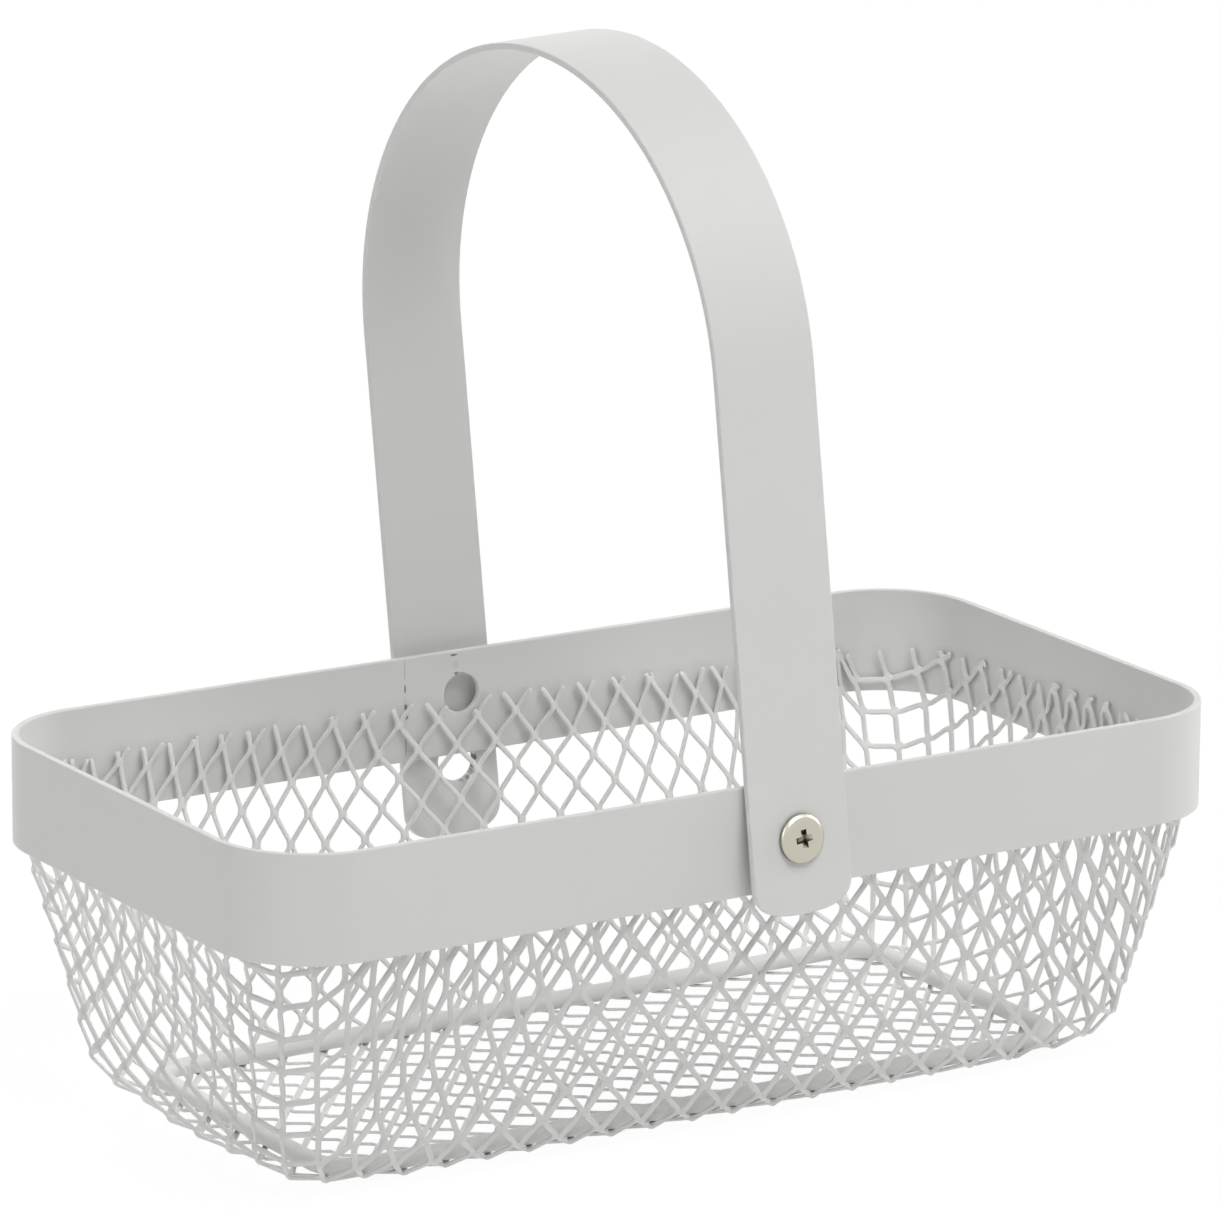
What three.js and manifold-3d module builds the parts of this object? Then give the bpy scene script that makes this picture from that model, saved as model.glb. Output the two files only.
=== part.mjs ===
// Metal mesh basket with a strap handle that swings on one screw.
// Millimetres, +Z up. +X runs along the basket and -Y is its front.
// The origin is the middle of the underside, on the surface that the basket stands on.

import * as THREE from 'three';
import { mergeVertices } from 'three/addons/utils/BufferGeometryUtils.js';
import Module from 'manifold-3d';

// Rim band: one flat steel strip, bent to a rounded rectangle and welded
const RIM_LENGTH = 305;
const RIM_WIDTH = 160;
const RIM_TOP = 101;
const RIM_CORNER_RADIUS = 28;
const BAND_HEIGHT = 30;
const BAND_THICKNESS = 2;

// Mesh tray: one expanded metal sheet, pressed into the band
const FLOOR_LENGTH = 268;
const FLOOR_WIDTH = 120;
const FLOOR_CORNER_RADIUS = 20;
const BOTTOM_BEND = 15;
const CELL_WIDTH = 13.9;
const CELL_LENGTH = 17.9;
const STRAND_WIDTH = 1.8;
const STRAND_DEPTH = 1.5;
const MESH_TUCK = 15;
const SHORTEST_STUB = 1.5;
const LONGEST_MITRE = 5;
const TRIMMED_OFF = 42;

// Base ring: a round bar that lies on the tray's floor
const RING_BAR = 5;
const RING_END_INSET = 18;
const RING_SIDE_INSET = 14;
const RING_CORNER_RADIUS = 7.5;

// Handle: one flat steel strap, arched over the basket
const STRAP_WIDTH = 30.5;
const STRAP_THICKNESS = 2;
const LEG_STRAIGHT = 124;
const ARCH_RISE = 84;
const STRAP_END = 20.5;
const STRAP_SHOULDER = 12;
const STRAP_END_EASE = 1;
const STRAP_HOLE = 10;
const STRAP_RACK = -8.7;
const HANDLE_SAG = THREE.MathUtils.degToRad(6.35);
const HANDLE_LEAN = THREE.MathUtils.degToRad(-1.7);

// Pivot: a flat-headed screw in a flanged sleeve nut, through the front of the band
const PIVOT_X = 6;
const PIVOT_DROP = 15;
const BAND_HOLE = 10.5;
const REAR_HOLE_X = -1;
const REAR_HOLE_DROP = 12.5;
const HEAD_DIAMETER = 14.5;
const HEAD_THICKNESS = 1.8;
const HEAD_BEVEL = 0.7;
const RECESS_SPAN = 5.5;
const RECESS_SLOT = 1.3;
const RECESS_DEPTH = 1.2;
const SCREW_SHANK = 6;
const SCREW_REACH = 5.2;
const SLEEVE_DIAMETER = 9;
const FLANGE_DIAMETER = 14.5;
const FLANGE_THICKNESS = 1.5;

// Clearances
const SEAT_GAP = 0.3;
const RUNNING_GAP = 0.3;
const STRAP_GAP = 0.8;
const RING_LIFT = 0.6;
const TRIM_GAP = 0.6;

// Fineness of round shapes
const CORNER_STEPS = 6;
const RING_CORNER_STEPS = 3;
const ARCH_STEPS = 36;
const ROUND_STEPS = 28;
const BAR_SIDES = 12;
const RELAX_ROUNDS = 1000;
const STRETCH_RATIO = 0.5;
const SQUEEZE_RATIO = 0.25;
const SMOOTHING_RATIO = 0.03;

const bandFoot = RIM_TOP - BAND_HEIGHT;
const meshTop = bandFoot + MESH_TUCK;
const pivotZ = RIM_TOP - PIVOT_DROP;

// The strap leans on the front top edge of the band, with its gap between them
const sagSine = Math.sin(HANDLE_SAG);
const sagCosine = Math.cos(HANDLE_SAG);
const strapStandoff = STRAP_THICKNESS / 2 + STRAP_GAP;
const pivotY = -RIM_WIDTH / 2 - (strapStandoff + PIVOT_DROP * sagSine) / sagCosine;

// The rear leg passes the rear bottom edge of the band with the same gap
const legSpacing = (RIM_WIDTH / 2 - pivotY) * sagCosine
  + (BAND_HEIGHT - PIVOT_DROP) * sagSine + strapStandoff;

const wasm = await Module();
wasm.setup();

function toSolid(geometry) {
  const bare = geometry.clone();
  bare.deleteAttribute('normal');
  bare.deleteAttribute('uv');
  const merged = mergeVertices(bare, 1e-4);
  const triangles = [];
  for (let t = 0; t < merged.index.count; t += 3) {
    const [a, b, c] = [0, 1, 2].map((corner) => merged.index.getX(t + corner));
    if (a !== b && b !== c && c !== a) {
      triangles.push(a, b, c);
    }
  }
  return new wasm.Manifold(new wasm.Mesh({
    numProp: 3,
    vertProperties: new Float32Array(merged.attributes.position.array),
    triVerts: new Uint32Array(triangles),
  }));
}

function toGeometry(solid) {
  const mesh = solid.getMesh();
  const geometry = new THREE.BufferGeometry();
  geometry.setAttribute('position', new THREE.BufferAttribute(mesh.vertProperties, 3));
  geometry.setIndex(new THREE.BufferAttribute(mesh.triVerts, 1));
  return geometry;
}

function roundedRectangle(path, halfLength, halfWidth, radius) {
  const x = halfLength - radius;
  const y = halfWidth - radius;
  path.absarc(x, y, radius, 0, Math.PI / 2);
  path.absarc(-x, y, radius, Math.PI / 2, Math.PI);
  path.absarc(-x, -y, radius, Math.PI, Math.PI * 1.5);
  path.absarc(x, -y, radius, Math.PI * 1.5, Math.PI * 2);
  path.closePath();
  return path;
}

// A cylinder along Y whose middle is at x, y, z
function crossPin(diameter, length, x, y, z) {
  const pin = new THREE.CylinderGeometry(diameter / 2, diameter / 2, length, ROUND_STEPS);
  pin.translate(x, y, z);
  return pin;
}

function makeRimBand() {
  const outline = roundedRectangle(
    new THREE.Shape(), RIM_LENGTH / 2, RIM_WIDTH / 2, RIM_CORNER_RADIUS,
  );
  outline.holes.push(roundedRectangle(
    new THREE.Path(),
    RIM_LENGTH / 2 - BAND_THICKNESS,
    RIM_WIDTH / 2 - BAND_THICKNESS,
    RIM_CORNER_RADIUS - BAND_THICKNESS,
  ));
  const strip = new THREE.ExtrudeGeometry(outline, {
    depth: BAND_HEIGHT, curveSegments: CORNER_STEPS, bevelEnabled: false,
  });
  strip.translate(0, 0, bandFoot);

  const middle = RIM_WIDTH / 2 - BAND_THICKNESS / 2;
  const axisFall = (pivotY + middle) * Math.tan(HANDLE_SAG);
  const drill = BAND_THICKNESS * 4;
  const front = crossPin(BAND_HOLE, drill, PIVOT_X, -middle, pivotZ + axisFall);
  const rear = crossPin(BAND_HOLE, drill, REAR_HOLE_X, middle, RIM_TOP - REAR_HOLE_DROP);
  return toGeometry(toSolid(strip).subtract(toSolid(front)).subtract(toSolid(rear)));
}

// The outside of the tray. Its walls stand upright inside the band and taper below it, and
// a bend joins them to the flat floor.
const wallHalfLength = RIM_LENGTH / 2 - BAND_THICKNESS - SEAT_GAP;
const wallHalfWidth = RIM_WIDTH / 2 - BAND_THICKNESS - SEAT_GAP;
const wallRadius = RIM_CORNER_RADIUS - BAND_THICKNESS - SEAT_GAP;
const lengthTaper = (wallHalfLength - FLOOR_LENGTH / 2) / bandFoot;
const widthTaper = (wallHalfWidth - FLOOR_WIDTH / 2) / bandFoot;
const cornerTaper = (wallRadius - FLOOR_CORNER_RADIUS) / bandFoot;

// Signed distance from the tray's outside, and the direction in which it grows
function trayDistance(point) {
  const drop = Math.max(0, bandFoot - point.z);
  const radius = wallRadius - cornerTaper * drop;
  const x = Math.abs(point.x) - (wallHalfLength - lengthTaper * drop - radius);
  const y = Math.abs(point.y) - (wallHalfWidth - widthTaper * drop - radius);
  const around = new THREE.Vector2(Math.max(x, 0), Math.max(y, 0));
  if (x <= 0 && y <= 0) {
    around.set(x > y ? 1 : 0, x > y ? 0 : 1);
  }
  const inside = x <= 0 && y <= 0;
  const reach = inside ? Math.max(x, y) : around.length();
  around.normalize();
  const taper = around.x * (lengthTaper - cornerTaper) + around.y * (widthTaper - cornerTaper);
  const rise = drop > 0 ? -(taper + cornerTaper) : 0;
  const scale = 1 / Math.hypot(1, rise);
  const wall = (reach - radius) * scale;
  const out = new THREE.Vector3(
    Math.sign(point.x) * around.x, Math.sign(point.y) * around.y, rise,
  ).multiplyScalar(scale);

  const wallPart = wall + BOTTOM_BEND;
  const floorPart = BOTTOM_BEND - point.z;
  const down = new THREE.Vector3(0, 0, -1);
  if (wallPart <= 0) {
    return { distance: -point.z, normal: down };
  }
  if (floorPart <= 0) {
    return { distance: wall, normal: out };
  }
  const bend = Math.hypot(wallPart, floorPart);
  const normal = out.multiplyScalar(wallPart / bend).addScaledVector(down, floorPart / bend);
  return { distance: bend - BOTTOM_BEND, normal };
}

function settleOnTray(point) {
  const { distance, normal } = trayDistance(point);
  point.addScaledVector(normal, -distance / normal.lengthSq());
}

// How far out and how high the end of a flat length lies once it is bent up one wall
function bendUp(flat, half, taper) {
  const lean = Math.atan(taper);
  const turn = Math.PI / 2 - lean;
  const start = half - BOTTOM_BEND * Math.tan(turn / 2);
  const bend = THREE.MathUtils.clamp((flat - start) / BOTTOM_BEND, 0, turn);
  const above = Math.max(0, flat - start - BOTTOM_BEND * turn);
  const slope = (bandFoot - BOTTOM_BEND * (1 - Math.cos(turn))) / Math.cos(lean);
  const leaning = Math.min(above, slope);
  return [
    Math.min(flat, start) + BOTTOM_BEND * Math.sin(bend) + leaning * Math.sin(lean),
    BOTTOM_BEND * (1 - Math.cos(bend)) + leaning * Math.cos(lean) + above - leaning,
  ];
}

// Where a point of the flat sheet lies after it is folded up the walls. The fold is exact
// where no strand comes from a corner. Elsewhere it is a first guess, and the point is loose.
function foldUp(flatX, flatY) {
  const coreX = FLOOR_LENGTH / 2 - FLOOR_CORNER_RADIUS;
  const coreY = FLOOR_WIDTH / 2 - FLOOR_CORNER_RADIUS;
  const overX = Math.max(0, flatX - coreX);
  const overY = Math.max(0, flatY - coreY);
  const loose = flatX > coreX - overY * CELL_WIDTH / CELL_LENGTH
    && flatY > coreY - overX * CELL_LENGTH / CELL_WIDTH;
  const [x, riseX] = bendUp(flatX, FLOOR_LENGTH / 2, lengthTaper);
  const [y, riseY] = bendUp(flatY, FLOOR_WIDTH / 2, widthTaper);
  const knot = new THREE.Vector3(x, y, riseX + riseY);
  if (loose) {
    const reach = Math.hypot(overX, overY);
    const height = Math.max(0, reach - FLOOR_CORNER_RADIUS);
    const widening = Math.min(height, bandFoot) * (lengthTaper + widthTaper) / 2;
    const share = Math.min(1, (FLOOR_CORNER_RADIUS + widening) / reach);
    knot.x = Math.min(flatX, coreX) + share * overX;
    knot.y = Math.min(flatY, coreY) + share * overY;
    knot.z = height;
  }
  settleOnTray(knot);
  settleOnTray(knot);
  return { knot, loose };
}

// The sheet's knots, draped so that the strands keep their length as well as they can. A
// knot has whole-number places i and j along X and Y, with i + j even. One quarter is
// worked out and mirrored.
const strandLength = Math.hypot(CELL_WIDTH, CELL_LENGTH) / 2;
const wallReach = meshTop + TRIMMED_OFF;
const columns = Math.ceil((FLOOR_LENGTH / 2 + wallReach) / (CELL_WIDTH / 2));
const rows = Math.ceil((FLOOR_WIDTH / 2 + wallReach) / (CELL_LENGTH / 2));

function drapeQuarter() {
  const knots = new Map();
  for (let i = 0; i <= columns; i += 1) {
    for (let j = i % 2; j <= rows; j += 2) {
      const { knot, loose } = foldUp(i * CELL_WIDTH / 2, j * CELL_LENGTH / 2);
      if (knot.z < meshTop + TRIMMED_OFF) {
        knots.set(`${i} ${j}`, { i, j, knot, loose, folded: knot.clone() });
      }
    }
  }
  const at = (i, j) => knots.get(`${Math.abs(i)} ${Math.abs(j)}`)?.knot;
  const strands = [];
  const lines = [];
  for (const { i, j, knot } of knots.values()) {
    for (const turn of [1, -1]) {
      const next = at(i + 1, j + turn);
      const last = at(i - 1, j - turn);
      if (next && j + turn >= 0) {
        strands.push([knot, next]);
      }
      if (next && last) {
        const mirrorNext = new THREE.Vector3(1, j + turn < 0 ? -1 : 1, 1);
        const mirrorLast = new THREE.Vector3(i === 0 ? -1 : 1, j - turn < 0 ? -1 : 1, 1);
        lines.push({ knot, next, last, mirrorNext, mirrorLast });
      }
    }
  }
  const pull = new THREE.Vector3();
  const middle = new THREE.Vector3();
  const other = new THREE.Vector3();
  for (let round = 0; round < RELAX_ROUNDS; round += 1) {
    for (const [start, end] of strands) {
      pull.subVectors(end, start);
      const excess = 1 - strandLength / pull.length();
      pull.multiplyScalar(excess * (excess > 0 ? STRETCH_RATIO : SQUEEZE_RATIO));
      start.add(pull);
      end.sub(pull);
    }
    for (const { knot, next, last, mirrorNext, mirrorLast } of lines) {
      middle.multiplyVectors(next, mirrorNext);
      other.multiplyVectors(last, mirrorLast);
      middle.add(other).multiplyScalar(0.5).sub(knot);
      knot.addScaledVector(middle, SMOOTHING_RATIO);
    }
    for (const { j, knot, loose, folded } of knots.values()) {
      if (!loose) {
        knot.copy(folded);
        continue;
      }
      if (j === 0) {
        knot.y = 0;
      }
      settleOnTray(knot);
    }
  }
  return (i, j) => {
    const knot = at(i, j);
    return knot
      ? new THREE.Vector3(Math.sign(i) * knot.x, Math.sign(j) * knot.y, Math.max(0, knot.z))
      : undefined;
  };
}

// The four ways from a knot to its neighbours, in order round the knot seen from outside
const WAYS = [[1, -1], [1, 1], [-1, 1], [-1, -1]];

function makeMeshTray() {
  const place = drapeQuarter();
  const positions = [];
  const faces = [];
  const addPoint = (point) => positions.push(point.x, point.y, point.z) / 3 - 1;
  const knots = new Map();
  for (let i = -columns + 1; i < columns; i += 1) {
    for (let j = -rows + 1; j < rows; j += 1) {
      const point = (i + j) % 2 === 0 ? place(i, j) : undefined;
      if (!point || point.z > meshTop) {
        continue;
      }
      const { normal } = trayDistance(point);
      const towards = WAYS.map(([right, up]) => (
        place(i + right, j + up).sub(point).normalize()
      ));
      // Each corner lies between two strands, half a strand's width from both
      const corners = towards.map((one, way) => {
        const next = towards[(way + 1) % 4];
        const sine = one.clone().cross(next).length();
        const corner = one.clone().add(next).multiplyScalar(STRAND_WIDTH / 2 / sine);
        return addPoint(corner.clampLength(0, LONGEST_MITRE).add(point));
      });
      const ridge = addPoint(point.clone().addScaledVector(normal, -STRAND_DEPTH));
      faces.push(corners[0], corners[2], corners[1], corners[0], corners[3], corners[2]);
      knots.set(`${i} ${j}`, { i, j, point, normal, towards, corners, ridge });
    }
  }

  // A strand has two outer edges and one inner ridge
  const addStrand = (start, end) => {
    const sides = [[0, 1], [1, 2], [2, 0]];
    for (const [a, b] of sides) {
      faces.push(start[a], start[b], end[b], start[a], end[b], end[a]);
    }
  };
  for (const knot of knots.values()) {
    WAYS.forEach(([right, up], way) => {
      const before = knot.corners[(way + 3) % 4];
      const after = knot.corners[way];
      const start = [before, after, knot.ridge];
      const other = knots.get(`${knot.i + right} ${knot.j + up}`);
      if (other) {
        if (right > 0) {
          const back = (way + 2) % 4;
          const end = [other.corners[back], other.corners[(back + 3) % 4], other.ridge];
          addStrand(start, end);
        }
        return;
      }
      const rise = knot.towards[way].z;
      const length = rise > 0 ? (meshTop - knot.point.z) / rise : 0;
      if (length < SHORTEST_STUB) {
        faces.push(before, after, knot.ridge);
        return;
      }
      const along = knot.towards[way].clone().multiplyScalar(length);
      const across = along.clone().cross(knot.normal).setLength(STRAND_WIDTH / 2);
      const tip = knot.point.clone().add(along);
      const end = [
        addPoint(tip.clone().sub(across)),
        addPoint(tip.clone().add(across)),
        addPoint(tip.clone().addScaledVector(knot.normal, -STRAND_DEPTH)),
      ];
      addStrand(start, end);
      faces.push(...end);
    });
  }
  const sheet = new THREE.BufferGeometry();
  sheet.setAttribute('position', new THREE.Float32BufferAttribute(positions, 3));
  sheet.setIndex(faces);

  // The sheet is cut away round the sleeve nut and round the rear hole
  const cutDepth = 4 * (STRAND_DEPTH + FLANGE_THICKNESS);
  const nutCut = crossPin(FLANGE_DIAMETER + 2 * TRIM_GAP, cutDepth, 0, flangeSeat, 0);
  nutCut.applyMatrix4(pivotFrame());
  const middle = RIM_WIDTH / 2 - BAND_THICKNESS;
  const rearCut = crossPin(
    BAND_HOLE + 2 * TRIM_GAP, cutDepth, REAR_HOLE_X, middle, RIM_TOP - REAR_HOLE_DROP,
  );
  const pieces = toSolid(sheet).subtract(toSolid(nutCut)).subtract(toSolid(rearCut)).decompose();
  pieces.sort((one, other) => other.volume() - one.volume());
  return toGeometry(pieces[0]);
}

function makeBaseRing() {
  const halfLength = FLOOR_LENGTH / 2 - RING_END_INSET;
  const halfWidth = FLOOR_WIDTH / 2 - RING_SIDE_INSET;
  const route = roundedRectangle(new THREE.Path(), halfLength, halfWidth, RING_CORNER_RADIUS)
    .getPoints(RING_CORNER_STEPS)
    .filter((point, place, all) => place === 0 || point.distanceTo(all[place - 1]) > 1e-3);
  if (route[0].distanceTo(route[route.length - 1]) < 1e-3) {
    route.pop();
  }
  const height = STRAND_DEPTH + RING_LIFT + RING_BAR / 2;
  const positions = [];
  const faces = [];
  const stations = route.length;
  for (let station = 0; station < stations; station += 1) {
    const point = route[station];
    const before = route[(station + stations - 1) % stations].clone().sub(point).normalize();
    const after = route[(station + 1) % stations].clone().sub(point).normalize();
    const outward = after.clone().sub(before).normalize();
    outward.set(outward.y, -outward.x);
    const mitre = 1 / Math.abs(outward.x * after.y - outward.y * after.x);
    for (let side = 0; side < BAR_SIDES; side += 1) {
      const turn = side / BAR_SIDES * Math.PI * 2;
      const across = Math.cos(turn) * RING_BAR / 2 * mitre;
      positions.push(
        point.x + outward.x * across,
        point.y + outward.y * across,
        height + Math.sin(turn) * RING_BAR / 2,
      );
      const next = (side + 1) % BAR_SIDES;
      const here = station * BAR_SIDES;
      const there = (station + 1) % stations * BAR_SIDES;
      faces.push(here + side, there + side, there + next);
      faces.push(here + side, there + next, here + next);
    }
  }
  const ring = new THREE.BufferGeometry();
  ring.setAttribute('position', new THREE.Float32BufferAttribute(positions, 3));
  ring.setIndex(faces);
  return ring;
}

// The frame of the pivot: its Y axis is the screw's own axis, which sags with the handle
function pivotFrame() {
  return new THREE.Matrix4()
    .makeTranslation(PIVOT_X, pivotY, pivotZ)
    .multiply(new THREE.Matrix4().makeRotationX(-HANDLE_SAG));
}

// The strap is drawn upright in the pivot's frame, with its front hole at 0, 0, 0
function makeHandleStrap() {
  const half = STRAP_THICKNESS / 2;
  const archReach = legSpacing / 2;
  const archCentre = new THREE.Vector2(archReach, LEG_STRAIGHT);
  const edge = (offset) => {
    const points = [];
    for (let step = 0; step <= ARCH_STEPS; step += 1) {
      const turn = Math.PI * (1 - step / ARCH_STEPS);
      const along = new THREE.Vector2(archReach * Math.cos(turn), ARCH_RISE * Math.sin(turn));
      const normal = new THREE.Vector2(
        Math.cos(turn) / archReach, Math.sin(turn) / ARCH_RISE,
      ).normalize();
      points.push(along.addScaledVector(normal, offset).add(archCentre));
    }
    return points;
  };
  const side = new THREE.Shape([
    new THREE.Vector2(-half, -STRAP_END),
    ...edge(half),
    new THREE.Vector2(legSpacing + half, -STRAP_END),
    new THREE.Vector2(legSpacing - half, -STRAP_END),
    ...edge(-half).reverse(),
    new THREE.Vector2(half, -STRAP_END),
  ]);
  const strip = new THREE.ExtrudeGeometry(side, { depth: STRAP_WIDTH, bevelEnabled: false });
  strip.translate(0, 0, -STRAP_WIDTH / 2);
  strip.applyMatrix4(new THREE.Matrix4().makeBasis(
    new THREE.Vector3(0, 1, 0), new THREE.Vector3(0, 0, 1), new THREE.Vector3(1, 0, 0),
  ));

  // The tongue-shaped ends come from the outline seen along the screw
  const top = LEG_STRAIGHT + ARCH_RISE + STRAP_THICKNESS;
  const edgeX = STRAP_WIDTH / 2;
  const tongue = new THREE.Shape();
  tongue.moveTo(-edgeX, top);
  tongue.lineTo(-edgeX, -STRAP_SHOULDER);
  const eased = -STRAP_END + STRAP_END_EASE;
  tongue.bezierCurveTo(-edgeX, eased, -edgeX / 2, -STRAP_END, 0, -STRAP_END);
  tongue.bezierCurveTo(edgeX / 2, -STRAP_END, edgeX, eased, edgeX, -STRAP_SHOULDER);
  tongue.lineTo(edgeX, top);
  tongue.closePath();
  const front = new THREE.ExtrudeGeometry(tongue, {
    depth: legSpacing + 2 * STRAP_THICKNESS, curveSegments: CORNER_STEPS, bevelEnabled: false,
  });
  front.rotateX(Math.PI / 2);
  front.translate(0, legSpacing + STRAP_THICKNESS, 0);

  const strap = toGeometry(toSolid(strip)
    .intersect(toSolid(front))
    .subtract(toSolid(crossPin(STRAP_HOLE, 4 * STRAP_THICKNESS, 0, 0, 0)))
    .subtract(toSolid(crossPin(STRAP_HOLE, 4 * STRAP_THICKNESS, 0, legSpacing, 0))));
  strap.applyMatrix4(new THREE.Matrix4().makeShear(0, 0, STRAP_RACK / legSpacing, 0, 0, 0));
  strap.rotateY(HANDLE_LEAN);
  return strap.applyMatrix4(pivotFrame());
}

// Stations along the pivot's axis, from the head's face towards the inside of the band
const headSeat = -STRAP_THICKNESS / 2 - SEAT_GAP;
const bandInside = (-RIM_WIDTH / 2 + BAND_THICKNESS - pivotY) / sagCosine;
const flangeSeat = bandInside + FLANGE_DIAMETER / 2 * Math.tan(HANDLE_SAG) + SEAT_GAP;

function turned(profile) {
  return new THREE.LatheGeometry(
    profile.map(([radius, station]) => new THREE.Vector2(radius, station)), ROUND_STEPS,
  );
}

function makePivotScrew() {
  const face = headSeat - HEAD_THICKNESS;
  const body = turned([
    [0, face],
    [HEAD_DIAMETER / 2 - HEAD_BEVEL, face],
    [HEAD_DIAMETER / 2, face + HEAD_BEVEL],
    [HEAD_DIAMETER / 2, headSeat],
    [SCREW_SHANK / 2, headSeat],
    [SCREW_SHANK / 2, SCREW_REACH],
    [0, SCREW_REACH],
  ]);
  let screw = toSolid(body);
  for (const [width, height] of [[RECESS_SPAN, RECESS_SLOT], [RECESS_SLOT, RECESS_SPAN]]) {
    const slot = new THREE.BoxGeometry(width, 2 * RECESS_DEPTH, height);
    slot.translate(0, face, 0);
    screw = screw.subtract(toSolid(slot));
  }
  return toGeometry(screw).applyMatrix4(pivotFrame());
}

function makeSleeveNut() {
  const mouth = headSeat + 2 * SEAT_GAP;
  const bore = SCREW_SHANK / 2 + RUNNING_GAP;
  const nut = turned([
    [0, SCREW_REACH + RUNNING_GAP],
    [bore, SCREW_REACH + RUNNING_GAP],
    [bore, mouth],
    [SLEEVE_DIAMETER / 2, mouth],
    [SLEEVE_DIAMETER / 2, flangeSeat],
    [FLANGE_DIAMETER / 2, flangeSeat],
    [FLANGE_DIAMETER / 2, flangeSeat + FLANGE_THICKNESS],
    [0, flangeSeat + FLANGE_THICKNESS],
  ]);
  return toGeometry(toSolid(nut)).applyMatrix4(pivotFrame());
}

const powderCoat = { color: 0xd4d6d8, roughness: 0.55, metalness: 0.05 };
const nickelPlate = { color: 0xc2beb2, roughness: 0.3, metalness: 1 };
const basket = new THREE.Group();
basket.name = 'metal_basket';
for (const [name, geometry, finish] of [
  ['rim_band', makeRimBand(), powderCoat],
  ['mesh_basket', makeMeshTray(), powderCoat],
  ['base_ring', makeBaseRing(), powderCoat],
  ['handle_strap', makeHandleStrap(), powderCoat],
  ['pivot_screw', makePivotScrew(), nickelPlate],
  ['sleeve_nut', makeSleeveNut(), nickelPlate],
]) {
  const mesh = new THREE.Mesh(geometry, new THREE.MeshStandardMaterial(finish));
  mesh.name = name;
  basket.add(mesh);
}

export default basket;
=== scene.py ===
"""Looks for a metal mesh basket with a strap handle: expanded mesh, powder coat and a nickel screw."""

import math

import bmesh
import bpy
import numpy as np
from mathutils import Matrix, Vector


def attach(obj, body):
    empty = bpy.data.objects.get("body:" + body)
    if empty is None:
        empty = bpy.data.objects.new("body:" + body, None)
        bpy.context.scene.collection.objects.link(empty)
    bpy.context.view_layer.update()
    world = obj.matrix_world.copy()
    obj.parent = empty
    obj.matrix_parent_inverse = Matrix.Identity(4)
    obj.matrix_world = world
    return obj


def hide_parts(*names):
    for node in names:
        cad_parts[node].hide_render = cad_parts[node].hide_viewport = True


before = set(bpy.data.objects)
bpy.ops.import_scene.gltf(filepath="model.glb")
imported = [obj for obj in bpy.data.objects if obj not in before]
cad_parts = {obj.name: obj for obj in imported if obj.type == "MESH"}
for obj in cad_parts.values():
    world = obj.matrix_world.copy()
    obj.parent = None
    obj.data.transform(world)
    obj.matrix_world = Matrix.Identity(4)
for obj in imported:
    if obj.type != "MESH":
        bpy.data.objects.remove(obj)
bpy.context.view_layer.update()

MM = 0.001

# Sizes in millimetres, the same as in the solids
RIM_LENGTH = 305.0
RIM_WIDTH = 160.0
RIM_TOP = 101.0
RIM_CORNER_RADIUS = 28.0
BAND_HEIGHT = 30.0
BAND_THICKNESS = 2.0
FLOOR_LENGTH = 268.0
FLOOR_WIDTH = 120.0
FLOOR_CORNER_RADIUS = 20.0
BOTTOM_BEND = 15.0
RING_BAR = 5.0
STRAP_WIDTH = 30.5
STRAP_THICKNESS = 2.0
LEG_STRAIGHT = 124.0
ARCH_RISE = 84.0
STRAP_END = 20.5
STRAP_SHOULDER = 12.0
STRAP_HOLE = 10.0
STRAP_RACK = -8.7
HANDLE_SAG = math.radians(6.35)
HANDLE_LEAN = math.radians(-1.7)
PIVOT_X = 6.0
PIVOT_DROP = 15.0
BAND_HOLE = 10.5
REAR_HOLE_DROP = 12.5
HEAD_THICKNESS = 1.8
SCREW_SHANK = 6.0
SCREW_REACH = 5.2
SLEEVE_DIAMETER = 9.0
FLANGE_THICKNESS = 1.5
SEAT_GAP = 0.3
RUNNING_GAP = 0.3
STRAP_GAP = 0.8

# Sizes that follow the photograph more closely than the solids do
RING_CORNER_RADIUS = 11.0
RING_END_INSET = 17.5
RING_SIDE_INSET = 10.5
RING_HEIGHT = 4.4
STRAP_REAR_HOLE = 11.5
STRAP_REAR_HOLE_X = 2.0
STRAP_REAR_HOLE_RISE = 0.9
REAR_HOLE = 11.2
REAR_HOLE_X = -0.6
HEAD_DIAMETER = 13.4

# The mesh, at the real size of its cells
CELL_WIDTH = 12.67
CELL_LENGTH = 15.65
SHEET_THICKNESS = 0.85
STRAND_WIDTH = 1.75
STRAND_TILT = math.radians(-26)
STRAND_BOW = 0.4
BOND_LENGTH = 1.8
TIP_SWELL = 1.2
MESH_TUCK = 16.8
CORNER_DIP = 4.4
SHEET_X = -0.5
SHEET_Y = -0.2
SHEET_TURN = math.radians(-1.67)
LOOSE_END_INSET = 22.4
LOOSE_SIDE_INSET = 18.0
TRIM_GAP = 0.6

BAND_FOOT = RIM_TOP - BAND_HEIGHT
MESH_TOP = BAND_FOOT + MESH_TUCK
PIVOT_Z = RIM_TOP - PIVOT_DROP
STANDOFF = STRAP_THICKNESS / 2 + STRAP_GAP
PIVOT_Y = -RIM_WIDTH / 2 - (STANDOFF + PIVOT_DROP * math.sin(HANDLE_SAG)) / math.cos(HANDLE_SAG)
LEG_SPACING = (
    (RIM_WIDTH / 2 - PIVOT_Y) * math.cos(HANDLE_SAG)
    + (BAND_HEIGHT - PIVOT_DROP) * math.sin(HANDLE_SAG)
    + STANDOFF
)
PIVOT_FRAME = Matrix.Translation((PIVOT_X, PIVOT_Y, PIVOT_Z)) @ Matrix.Rotation(-HANDLE_SAG, 4, "X")


# Helpers for meshes and pieces

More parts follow.
